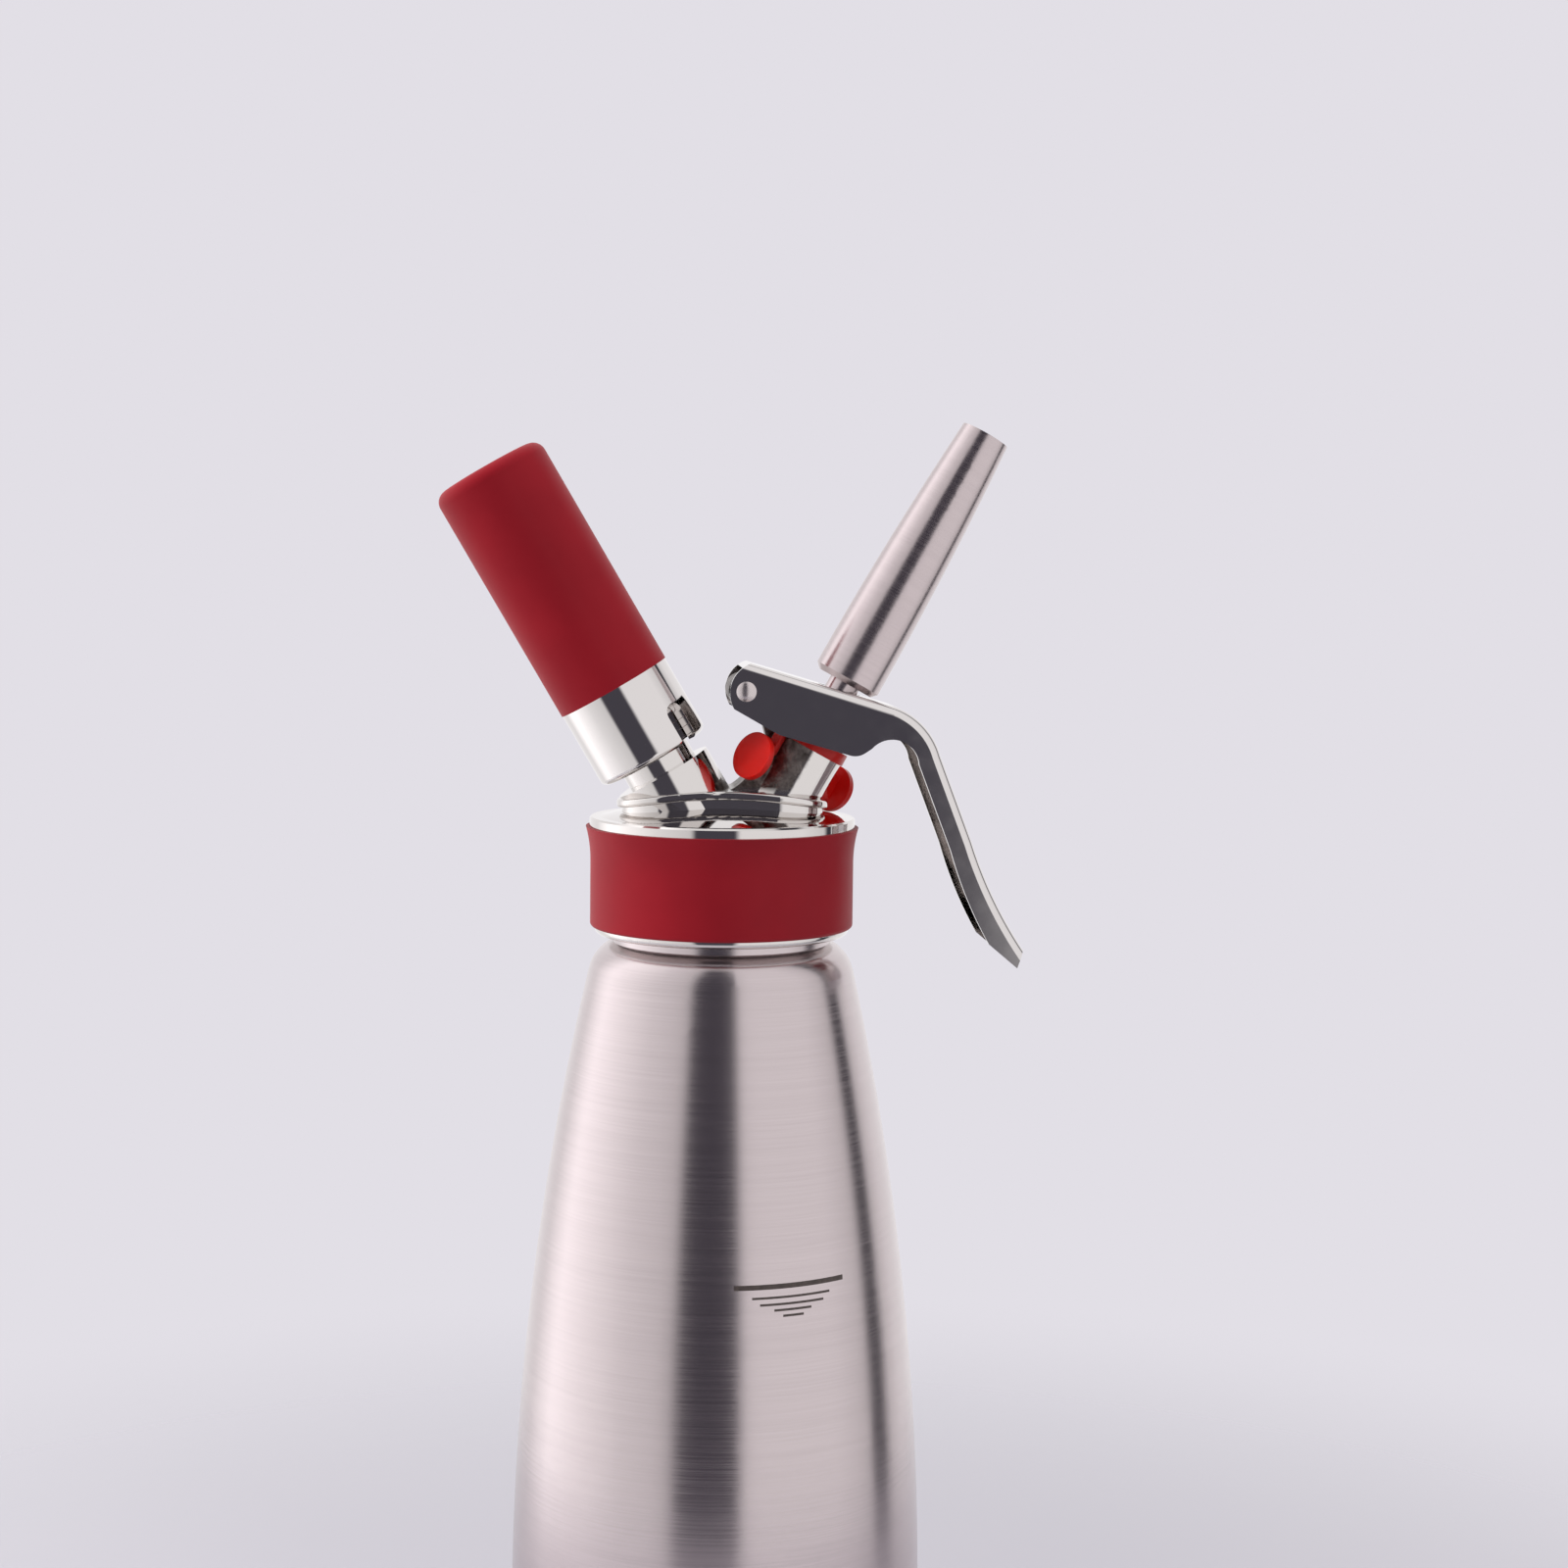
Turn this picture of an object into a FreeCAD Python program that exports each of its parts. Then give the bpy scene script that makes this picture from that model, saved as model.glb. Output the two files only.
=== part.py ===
import FreeCAD, Part
import math
import os
import Sketcher

# A one litre whipped cream dispenser: a steel bottle, a cast head that screws onto its
# neck, a holder on the left arm that drives a gas charger onto a pin, and a lever valve
# with a decorating nozzle on the right arm. Millimetres, +Z up, foot on Z = 0, front -Y.

doc = FreeCAD.newDocument("whipped_cream_dispenser")
sheet = doc.addObject("Spreadsheet::Sheet", "Sizes")
sheet_rows = []


class Size:
    """A length or an angle: its number and the sheet expression that gives it."""

    def __init__(self, value, text):
        self.value = value
        self.text = text

    def __add__(self, other):
        return Size(self.value + number(other), f"({self.text} + {words(other)})")

    def __sub__(self, other):
        return Size(self.value - number(other), f"({self.text} - {words(other)})")

    def __mul__(self, other):
        return Size(self.value * number(other), f"({self.text} * {words(other)})")

    def __truediv__(self, other):
        return Size(self.value / number(other), f"({self.text} / {words(other)})")

    def __neg__(self):
        return Size(-self.value, f"(0 - {self.text})")


def number(size):
    return size.value if isinstance(size, Size) else float(size)


def words(size):
    return size.text if isinstance(size, Size) else repr(float(size))


def sine(angle):
    return Size(math.sin(math.radians(angle.value)), f"sin({angle.text})")


def cosine(angle):
    return Size(math.cos(math.radians(angle.value)), f"cos({angle.text})")


def root(area):
    return Size(math.sqrt(area.value), f"sqrt({area.text})")


def size(alias, value, meaning):
    """Writes one driving size into the sheet and hands it back by its name."""
    sheet_rows.append(alias)
    row = len(sheet_rows)
    sheet.set(f"A{row}", meaning)
    sheet.set(f"B{row}", str(value))
    sheet.setAlias(f"B{row}", alias)
    return Size(float(value), f"Sizes.{alias}")


# Clearances, each written once
running_gap = size("running_gap", 0.1, "thread or slide, per side")
pin_gap = size("pin_gap", 0.05, "hinge pin or O-ring in its bore, per side")
moving_gap = size("moving_gap", 0.4, "between pieces that move past each other")
seat_gap = size("seat_gap", 0.05, "between a seal and the face it closes")

# Bottle
bottle_radius = size("bottle_radius", 48.3, "widest radius of the bottle")
bottle_wall = size("bottle_wall", 1.1, "drawn steel wall")
heel_radius = size("heel_radius", 11, "rounding from wall to foot")
belly_height = size("belly_height", 60, "height where the taper starts")
shoulder_height = size("shoulder_height", 214.3, "height where the shoulder starts")
shoulder_step = size("shoulder_step", 5.5, "from the neck out to the shoulder")
shoulder_rise = size("shoulder_rise", 6.6, "from the shoulder up to the neck")
shoulder_bend = size("shoulder_bend", 9.5, "shoulder rounding")
neck_radius = size("neck_radius", 25.4, "threaded neck outside")
neck_height = size("neck_height", 22.6, "height of the neck")
foot_ring_width = size("foot_ring_width", 3.3, "flat ring the bottle stands on")
foot_push_up = size("foot_push_up", 3, "depth of the pressed base")
foot_slope = size("foot_slope", 4, "width of the press's sloping edge")
shoulder_radius = neck_radius + shoulder_step
neck_base = shoulder_height + shoulder_rise
neck_top = neck_base + neck_height
foot_ring_radius = bottle_radius - heel_radius - foot_ring_width

# Head casting
gasket_width = size("gasket_width", 3.8, "gasket width")
gasket_thickness = size("gasket_thickness", 2.4, "gasket thickness")
roof_thickness = size("roof_thickness", 4, "rim top to the ceiling inside")
rim_overhang = size("rim_overhang", 1.8, "rim's overhang past the band's groove")
rim_height = size("rim_height", 2.3, "rim band height")
rim_edge = size("rim_edge", 0.4, "rim's eased edge")
dome_step = size("dome_step", 2.5, "from the rim's edge in to the dome")
dome_rise = size("dome_rise", 3.2, "dome height above the rim")
skirt_gap = size("skirt_gap", 1.8, "from the bottle's neck root up to the skirt's lip")
skirt_wall = size("skirt_wall", 3.4, "skirt under the grip band")
lip_height = size("lip_height", 1.7, "polished lip under the band")
lip_overhang = size("lip_overhang", 0.6, "lip past the band's groove")
lip_rounding = size("lip_rounding", 1.5, "lip rounding")
band_thickness = size("band_thickness", 1.5, "grip band thickness")
band_flare = size("band_flare", 1.1, "how far the band's top flares out")
band_flare_height = size("band_flare_height", 8, "height of the flare")
band_edge = size("band_edge", 0.8, "band's lower rounding")
ceiling = neck_top + gasket_thickness + seat_gap * 2
rim_top = ceiling + roof_thickness
rim_low = rim_top - rim_height
skirt_bottom = neck_base + skirt_gap
lip_top = skirt_bottom + lip_height
skirt_bore = neck_radius + running_gap * 3
band_seat = skirt_bore + skirt_wall
lip_radius = band_seat + lip_overhang
rim_radius = band_seat + rim_overhang
dome_radius = rim_radius - dome_step

# Bridge that joins the two arms on the dome
bridge_half_length = size("bridge_half_length", 24.6, "bridge half length")
bridge_half_width = size("bridge_half_width", 12, "bridge half width")
bridge_rise = size("bridge_rise", 6.7, "bridge's crown above the rim")
bridge_crown = size("bridge_crown", 112, "radius of the bridge's crown")
bridge_lip = size("bridge_lip", 2.0, "thickness of its overhanging lip")
bridge_overhang = size("bridge_overhang", 1.2, "lip's overhang")
bridge_rounding = size("bridge_rounding", 0.7, "lip's rounding")
bridge_top = rim_top + bridge_rise

# Charger arm: distances run up its axis from the rim's height
charger_foot = size("charger_foot", -7.86, "X where the charger axis crosses the rim")
charger_tilt = size("charger_tilt", -30.5, "charger axis, degrees from upright")
charger_boss_radius = size("charger_boss_radius", 11.6, "boss radius")
charger_boss_top = size("charger_boss_top", 12, "boss shoulder")
relief_radius = size("relief_radius", 8.5, "neck under the thread")
collar_base = size("collar_base", 16.6, "start of the thread collar")
collar_top = size("collar_top", 24.6, "end of the thread collar")
collar_radius = size("collar_radius", 10.7, "thread collar radius")
charger_mouth = size("charger_mouth", 19.4, "where the charger's mouth seats")
charger_length = size("charger_length", 65, "charger length")
charger_radius = size("charger_radius", 8.8, "charger body radius")
charger_neck = size("charger_neck", 3.8, "charger neck radius")
charger_neck_length = size("charger_neck_length", 8.5, "charger neck length")
charger_wall = size("charger_wall", 1.5, "charger wall")
charger_bore = size("charger_bore", 1.5, "pierced mouth radius")
pin_shank = size("pin_shank", 2.6, "piercing pin's threaded shank radius")
pin_needle = size("pin_needle", 1.1, "piercing pin's needle radius")
pin_reach = size("pin_reach", 1.6, "needle's reach into the charger")
pin_bore = size("pin_bore", 0.5, "gas hole through the pin")
washer_thickness = size("washer_thickness", 1.6, "charger washer thickness")
check_radius = size("check_radius", 3.2, "check valve head radius")
check_length = size("check_length", 3.4, "check valve head length")
check_stem = size("check_stem", 2.4, "check valve stem radius")
check_seat_radius = size("check_seat_radius", 5.2, "boss round the check valve")
check_seat_depth = size("check_seat_depth", -7.6, "face of that boss")
gas_hole = size("gas_hole", 1.2, "gas passage radius")

# Charger holder on the same axis
holder_radius = size("holder_radius", 13.65, "polished sleeve radius")
holder_base = size("holder_base", 15.9, "sleeve's lower edge")
holder_line = size("holder_line", 34.75, "where the grip starts")
holder_core = size("holder_core", 12, "sleeve radius under the grip")
holder_end_wall = size("holder_end_wall", 1.5, "sleeve's closed end")
holder_edge = size("holder_edge", 1.4, "sleeve's lower rounding")
holder_top = size("holder_top", 92.8, "top of the grip")
grip_radius = size("grip_radius", 13.8, "grip radius")
grip_rounding = size("grip_rounding", 3, "grip's top rounding")
vent_width = size("vent_width", 5, "vent notch width")
vent_length = size("vent_length", 9.5, "vent notch length")
vent_angle = size("vent_angle", -46, "vent notch round the sleeve, from +X")

# Valve arm: distances run up its axis from the rim's height
valve_foot = size("valve_foot", 10.9, "X where the valve axis crosses the rim")
valve_tilt = size("valve_tilt", 29.0, "valve axis, degrees from upright")
valve_boss_radius = size("valve_boss_radius", 8.6, "boss radius")
valve_boss_top = size("valve_boss_top", 18.5, "boss shoulder")
clip_seat_radius = size("clip_seat_radius", 6.8, "boss neck that the clip grips")
clip_seat_top = size("clip_seat_top", 21.6, "top of the boss neck")
valve_bore = size("valve_bore", 4.6, "cream bore radius")
spring_bore = size("spring_bore", 5.6, "spring chamber radius")
spring_floor = size("spring_floor", 9.5, "spring chamber floor")
valve_seat_radius = size("valve_seat_radius", 7.6, "boss round the valve seat")
valve_seat_depth = size("valve_seat_depth", -5.8, "face of the valve seat")
seal_radius = size("seal_radius", 6.2, "valve seal radius")
seal_thickness = size("seal_thickness", 2.2, "valve seal thickness")
piston_rod = size("piston_rod", 3.2, "piston rod radius")
piston_bore = size("piston_bore", 1.7, "cream passage radius")
piston_nut = size("piston_nut", 4.4, "flange under the valve seal")
piston_nut_height = size("piston_nut_height", 1.8, "that flange's thickness")
land_base = size("land_base", 1.5, "start of the piston's sealing land")
land_top = size("land_top", 7, "end of that land")
ring_wire = size("ring_wire", 0.9, "O-ring section radius")
collar_low = size("collar_low", 28.0, "piston collar's underside")
collar_high = size("collar_high", 30.6, "piston collar's top, which the lever presses")
press_radius = size("press_radius", 6.2, "piston collar radius")
piston_top = size("piston_top", 45, "top of the piston")
port_radius = size("port_radius", 1.3, "cream port radius")
spring_wire = size("spring_wire", 1, "return spring wire")
spring_mean = size("spring_mean", 4.45, "return spring mean radius")
spring_turns = 6

# Nozzle and its adaptor on the same axis
adaptor_base = size("adaptor_base", 32.2, "adaptor's lower end, in the lever's slot")
adaptor_neck = size("adaptor_neck", 3.75, "adaptor radius in the slot")
adaptor_step = size("adaptor_step", 35.8, "where the adaptor widens, above the lever")
adaptor_spigot = size("adaptor_spigot", 5.6, "adaptor's threaded radius")
adaptor_top = size("adaptor_top", 45.5, "top of the adaptor")
tip_seal_thickness = size("tip_seal_thickness", 1.2, "nozzle seal thickness")
nozzle_base = size("nozzle_base", 35.8, "nozzle's root")
nozzle_radius = size("nozzle_radius", 8.1, "nozzle radius at its root")
nozzle_chamfer = size("nozzle_chamfer", 1.3, "chamfer at the root")
nozzle_bow = size("nozzle_bow", 900, "radius of the nozzle's slightly bowed side")
nozzle_tip_radius = size("nozzle_tip_radius", 5.8, "nozzle radius at its tip")
nozzle_top = size("nozzle_top", 101.8, "nozzle's tip")
nozzle_outlet = size("nozzle_outlet", 4.6, "outlet radius")
nozzle_outlet_depth = size("nozzle_outlet_depth", 9, "straight length of the outlet")
nozzle_throat = size("nozzle_throat", 3.6, "bore radius above the adaptor")
nozzle_throat_rise = size("nozzle_throat_rise", 3, "straight bore before the inner taper")

# Lever: distances run from its pin
pin_x = size("pin_x", 4.7, "lever pin")
pin_rise = size("pin_rise", 29.6, "lever pin above the rim")
pin_z = rim_top + pin_rise
pin_radius = size("pin_radius", 2, "lever pin radius")
pin_head_radius = size("pin_head_radius", 2.3, "lever pin's domed head radius")
pin_head_height = size("pin_head_height", 0.8, "how far the head stands proud")
lug_radius = size("lug_radius", 3.9, "lug round the pin")
lug_half_width = size("lug_half_width", 8.6, "lug half width")
web_half_width = size("web_half_width", 3.2, "web from the boss to the lug")
gusset_half_width = size("gusset_half_width", 6.4, "gusset at the foot of the boss")
lever_width = size("lever_width", 22.6, "lever outside width")
lever_sheet = size("lever_sheet", 1.5, "lever sheet thickness")
lever_crown_x = size("lever_crown_x", 1, "left end of the lever's top")
lever_crown_z = size("lever_crown_z", 6.4, "and its height")
lever_knee_x = size("lever_knee_x", 34.5, "right end of the lever's top")
lever_knee_z = size("lever_knee_z", -3.4, "and its height")
knee_radius = size("knee_radius", 16.9, "bend into the handle")
handle_top_x = size("handle_top_x", 45, "outer end of the bend")
handle_top_z = size("handle_top_z", -14.6, "and its height")
handle_mid_x = size("handle_mid_x", 52.6, "where the handle starts to curve out")
handle_mid_z = size("handle_mid_z", -34.4, "and its height")
handle_curve = size("handle_curve", 100, "radius of that curve")
handle_tip_x = size("handle_tip_x", 65.0, "handle's tip")
handle_tip_z = size("handle_tip_z", -59.6, "and its height")
handle_depth = size("handle_depth", 5.4, "depth of the handle's side flange")
tip_depth = size("tip_depth", 8.2, "depth of the flange near the tip")
rolled_edge = size("rolled_edge", 2, "rolled edge along the lever's back")
notch_radius = size("notch_radius", 6.3, "hollow behind the side plates")
cheek_x = size("cheek_x", 25.8, "lowest corner of the side plates")
cheek_z = size("cheek_z", -15, "and its height")
cheek_bend = size("cheek_bend", 4.2, "rounding of that corner")
cheek_mid_x = size("cheek_mid_x", 7.5, "middle of the plates' lower edge")
cheek_mid_z = size("cheek_mid_z", -9.8, "and its height")
heel_x = size("heel_x", -2.8, "lower left of the side plates")
heel_z = size("heel_z", -4, "and its height")
heel_bend = size("heel_bend", 7.2, "rounding of the plates' left end")
slot_length = size("slot_length", 11, "lever slot for the piston")
slot_width = size("slot_width", 8, "lever slot width")

# Clip with two finger discs, round the boss neck
clip_height = size("clip_height", 2.6, "clip ring height")
clip_radius = size("clip_radius", 9.0, "clip ring radius")
clip_opening = size("clip_opening", 62, "opening of the ring, degrees")
tab_width = size("tab_width", 2.6, "tab width")
tab_margin = size("tab_margin", 7, "from the ring's end round to the left tab, degrees")
tab_thickness = size("tab_thickness", 1.5, "tab thickness")
disc_radius = size("disc_radius", 5.6, "finger disc radius")
disc_thickness = size("disc_thickness", 1.6, "finger disc thickness")
disc_reach = size("disc_reach", 13.8, "left disc's distance from the valve axis")
reach_step = size("reach_step", 2.2, "how much further out the right disc is")
disc_height = size("disc_height", 10.8, "left disc's place up the valve axis")
disc_lift = size("disc_lift", 1.8, "how much higher the right disc is, clear of the dome")
left_tab_angle = clip_opening / 2 + tab_margin + 180
right_tab_angle = size("right_tab_angle", 47, "right tab round the axis")

doc.recompute()


def corner(point):
    return FreeCAD.Vector(number(point[0]), number(point[1]), 0)


def arc_between(start, end, radius):
    """Short arc from start to end: a positive radius turns left, a negative one right."""
    chord = end - start
    half = chord.Length / 2
    reach = math.sqrt(max(abs(radius) ** 2 - half ** 2, 0))
    side = FreeCAD.Vector(-chord.y, chord.x, 0).normalize()
    centre = (start + end) / 2 + side * (reach if radius > 0 else -reach)
    first = math.atan2(start.y - centre.y, start.x - centre.x)
    last = math.atan2(end.y - centre.y, end.x - centre.x)
    if radius < 0:
        first, last = last, first
    circle = Part.Circle(centre, FreeCAD.Vector(0, 0, 1), abs(radius))
    return Part.ArcOfCircle(circle, first, last)


def draw(sketch, outline):
    """Draws a closed outline whose corners and radii are bound to the sheet.

    Each corner is (x, y), or (x, y, radius) where an arc leads to it from the last one.
    """
    count = len(outline)
    starts = []
    ends = []
    for index in range(count):
        here = outline[index]
        after = outline[(index + 1) % count]
        if len(after) == 3:
            radius = number(after[2])
            edge = sketch.addGeometry(arc_between(corner(here), corner(after), radius))
            turns_left = radius > 0
            starts.append((edge, 1 if turns_left else 2))
            ends.append((edge, 2 if turns_left else 1))
            bound = sketch.addConstraint(Sketcher.Constraint("Radius", edge, abs(radius)))
            text = words(after[2])
            sketch.setExpression(f"Constraints[{bound}]", text if turns_left else f"0 - {text}")
        else:
            edge = sketch.addGeometry(Part.LineSegment(corner(here), corner(after)))
            starts.append((edge, 1))
            ends.append((edge, 2))
    for index in range(count):
        joined = ends[index] + starts[(index + 1) % count]
        sketch.addConstraint(Sketcher.Constraint("Coincident", *joined))
    for index, point in enumerate(outline):
        for kind, axis, value in (("DistanceX", -2, point[0]), ("DistanceY", -1, point[1])):
            if not isinstance(value, Size) and value == 0:
                sketch.addConstraint(Sketcher.Constraint("PointOnObject", *starts[index], axis))
            else:
                rule = Sketcher.Constraint(kind, -1, 1, *starts[index], number(value))
                bound = sketch.addConstraint(rule)
                if isinstance(value, Size):
                    sketch.setExpression(f"Constraints[{bound}]", value.text)


def sketch_on(body, plane, name):
    sketch = body.newObject("Sketcher::SketchObject", name)
    base = [item for item in body.Origin.OriginFeatures if item.Role == plane][0]
    sketch.AttachmentSupport = [(base, "")]
    sketch.MapMode = "FlatFace"
    return sketch


def turned(name, outline):
    """A body turned about its own Z axis from an outline of (radius, height) corners."""
    body = doc.addObject("PartDesign::Body", name)
    sketch = sketch_on(body, "XZ_Plane", name + "_outline")
    draw(sketch, outline)
    turn = body.newObject("PartDesign::Revolution", name + "_turn")
    turn.Profile = sketch
    turn.ReferenceAxis = (sketch, ["V_Axis"])
    turn.Angle = 360
    body.Tip = turn
    return body


def bind(item, **sizes):
    """Binds an object's properties to the sheet."""
    for key, value in sizes.items():
        path = key.replace("_", ".")
        if isinstance(value, Size):
            item.setExpression(path, value.text)
        else:
            item.setExpression(path, words(value))
    return item


class Arm:
    """A tilted axis in the XZ plane that starts at the rim's height."""

    def __init__(self, foot, tilt):
        self.foot = foot
        self.tilt = tilt

    def place(self, item, distance):
        item.Placement.Rotation = FreeCAD.Rotation(FreeCAD.Vector(0, 1, 0), self.tilt.value)
        return bind(
            item,
            Placement_Rotation_Angle=self.tilt,
            Placement_Base_x=self.foot + sine(self.tilt) * distance,
            Placement_Base_z=rim_top + cosine(self.tilt) * distance,
        )

    def rod(self, name, radius, low, high):
        item = doc.addObject("Part::Cylinder", name)
        bind(item, Radius=radius, Height=high - low)
        return self.place(item, low)


def rod(name, radius, low, height):
    """An upright cylinder on the object's own Z axis."""
    item = doc.addObject("Part::Cylinder", name)
    return bind(item, Radius=radius, Height=height, Placement_Base_z=low)


def cut(name, base, *tools):
    result = doc.addObject("Part::Cut", name)
    result.Base = base
    result.Tool = tools[0] if len(tools) == 1 else fuse(name + "_tools", *tools)
    return result


def fuse(name, *items):
    result = doc.addObject("Part::MultiFuse", name)
    result.Shapes = list(items)
    return result


def common(name, *items):
    result = doc.addObject("Part::MultiCommon", name)
    result.Shapes = list(items)
    return result


def padded(name, plane, outline, depth, both_ways=True):
    """A body padded from an outline, half its depth to each side of the plane."""
    body = doc.addObject("PartDesign::Body", name)
    sketch = sketch_on(body, plane, name + "_outline")
    draw(sketch, outline)
    pad = body.newObject("PartDesign::Pad", name + "_pad")
    pad.Profile = sketch
    pad.Midplane = both_ways
    bind(pad, Length=depth)
    body.Tip = pad
    return body


def label(item, text):
    item.Label = text
    nodes.append(item)
    return item


nodes = []
charger_arm = Arm(charger_foot, charger_tilt)
valve_arm = Arm(valve_foot, valve_tilt)


def make_bottle():
    """Drawn steel bottle: pressed foot, long taper, rounded shoulder, threaded neck."""
    heel = foot_ring_radius + foot_ring_width
    rise = shoulder_height - belly_height
    draw_in = bottle_radius - shoulder_radius
    taper = (rise * rise + draw_in * draw_in) / (draw_in * 2)
    inside = bottle_radius - bottle_wall
    floor = foot_push_up + bottle_wall
    inner_neck = neck_radius - bottle_wall
    outline = [
        (0, foot_push_up),
        (foot_ring_radius - foot_slope, foot_push_up),
        (foot_ring_radius, 0),
        (heel, 0),
        (bottle_radius, heel_radius, heel_radius),
        (bottle_radius, belly_height),
        (shoulder_radius, shoulder_height, taper),
        (neck_radius, neck_base, shoulder_bend),
        (neck_radius, neck_top),
        (inner_neck, neck_top),
        (inner_neck, neck_base - bottle_wall),
        (shoulder_radius - bottle_wall, shoulder_height, -shoulder_bend),
        (inside, belly_height, -taper),
        (inside, heel_radius),
        (heel, bottle_wall, -(heel_radius - bottle_wall)),
        (foot_ring_radius, bottle_wall),
        (foot_ring_radius - foot_slope, floor),
        (0, floor),
    ]
    return turned("Bottle", outline)


def make_gasket():
    """Silicone gasket between the bottle's mouth and the head's ceiling."""
    low = neck_top + seat_gap
    return turned("Gasket", [
        (neck_radius - gasket_width, low),
        (neck_radius, low),
        (neck_radius, low + gasket_thickness),
        (neck_radius - gasket_width, low + gasket_thickness),
    ])


def stadium(name, half_length, half_width, low, high):
    """An upright slab with round ends, long along X."""
    middle = half_length - half_width
    slab = doc.addObject("Part::Box", name + "Slab")
    bind(slab, Length=middle * 2, Width=half_width * 2, Height=high - low)
    bind(slab, Placement_Base_x=-middle, Placement_Base_y=-half_width)
    bind(slab, Placement_Base_z=low)
    ends = []
    for side, place in (("Left", -middle), ("Right", middle)):
        end = rod(name + side, half_width, low, high - low)
        ends.append(bind(end, Placement_Base_x=place))
    return fuse(name, slab, *ends)


def crown(name, drop):
    """The round back that the bridge's top follows, lowered by drop."""
    drum = doc.addObject("Part::Cylinder", name)
    drum.Placement.Rotation = FreeCAD.Rotation(FreeCAD.Vector(1, 0, 0), -90)
    bind(drum, Radius=bridge_crown - drop, Height=bridge_half_width * 4)
    bind(drum, Placement_Base_y=-bridge_half_width * 2)
    return bind(drum, Placement_Base_z=bridge_top - bridge_crown)


def make_bridge():
    """Raised bridge on the dome: an overhanging lip with rounded edges on a neck."""
    root_height = rim_top + dome_rise / 4
    blank = stadium("BridgeBlank", bridge_half_length, bridge_half_width, rim_top, bridge_top)
    slab = common("BridgeSlab", blank, crown("BridgeBack", Size(0.0, "0")))
    lip = cut("BridgeLip", slab, crown("BridgeUnder", bridge_lip))
    doc.recompute()
    rounded = doc.addObject("Part::Fillet", "BridgeRound")
    rounded.Base = lip
    edges = []
    for index, edge in enumerate(lip.Shape.Edges, 1):
        crosses = abs(edge.BoundBox.XLength) < 1e-6
        if not crosses and edge.BoundBox.ZLength < bridge_lip.value * 1.6:
            edges.append((index, bridge_rounding.value, bridge_rounding.value))
    rounded.Edges = edges
    neck_length = bridge_half_length - bridge_overhang
    neck_width = bridge_half_width - bridge_overhang
    post = stadium("BridgePost", neck_length, neck_width, root_height, bridge_top)
    neck = common("BridgeNeck", post, crown("BridgeNeckBack", bridge_lip / 2))
    return [rounded, neck]


def make_lug():
    """Lug that carries the lever pin: a hub, a web to the boss and a gusset below it."""
    hub = doc.addObject("Part::Cylinder", "LugHub")
    hub.Placement.Rotation = FreeCAD.Rotation(FreeCAD.Vector(1, 0, 0), -90)
    bind(hub, Radius=lug_radius, Height=lug_half_width * 2)
    bind(hub, Placement_Base_x=pin_x, Placement_Base_y=-lug_half_width, Placement_Base_z=pin_z)
    lean = sine(valve_tilt)
    stand = cosine(valve_tilt)
    boss_x = valve_foot + lean * valve_boss_top
    boss_z = rim_top + stand * valve_boss_top
    low_x = valve_foot + lean * (valve_boss_top / 2)
    low_z = rim_top + stand * (valve_boss_top / 2)
    above = clip_seat_top + 2
    web = padded("LugWeb", "XZ_Plane", [
        (pin_x + lug_radius * 0.74, pin_z - lug_radius * 0.66),
        (low_x - valve_boss_radius * 0.55, low_z + valve_boss_radius * 0.9),
        (low_x, low_z),
        (boss_x - clip_seat_radius, boss_z + clip_seat_radius / 2),
        (valve_foot + lean * above - stand * valve_boss_radius,
         rim_top + stand * above + lean * valve_boss_radius),
        (pin_x + lug_radius / 2, pin_z + lug_radius * 0.85),
    ], web_half_width * 2)
    gusset = padded("BossGusset", "XZ_Plane", [
        (valve_foot - valve_boss_radius * 1.9, bridge_top - bridge_lip),
        (valve_foot, bridge_top - bridge_lip),
        (low_x, low_z + valve_boss_radius * 0.5),
        (low_x - valve_boss_radius, low_z + valve_boss_radius * 0.5),
        (valve_foot - valve_boss_radius * 1.9, bridge_top - bridge_lip / 2, -valve_boss_radius * 1.3),
    ], gusset_half_width * 2)
    return [hub, web, gusset]


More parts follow.
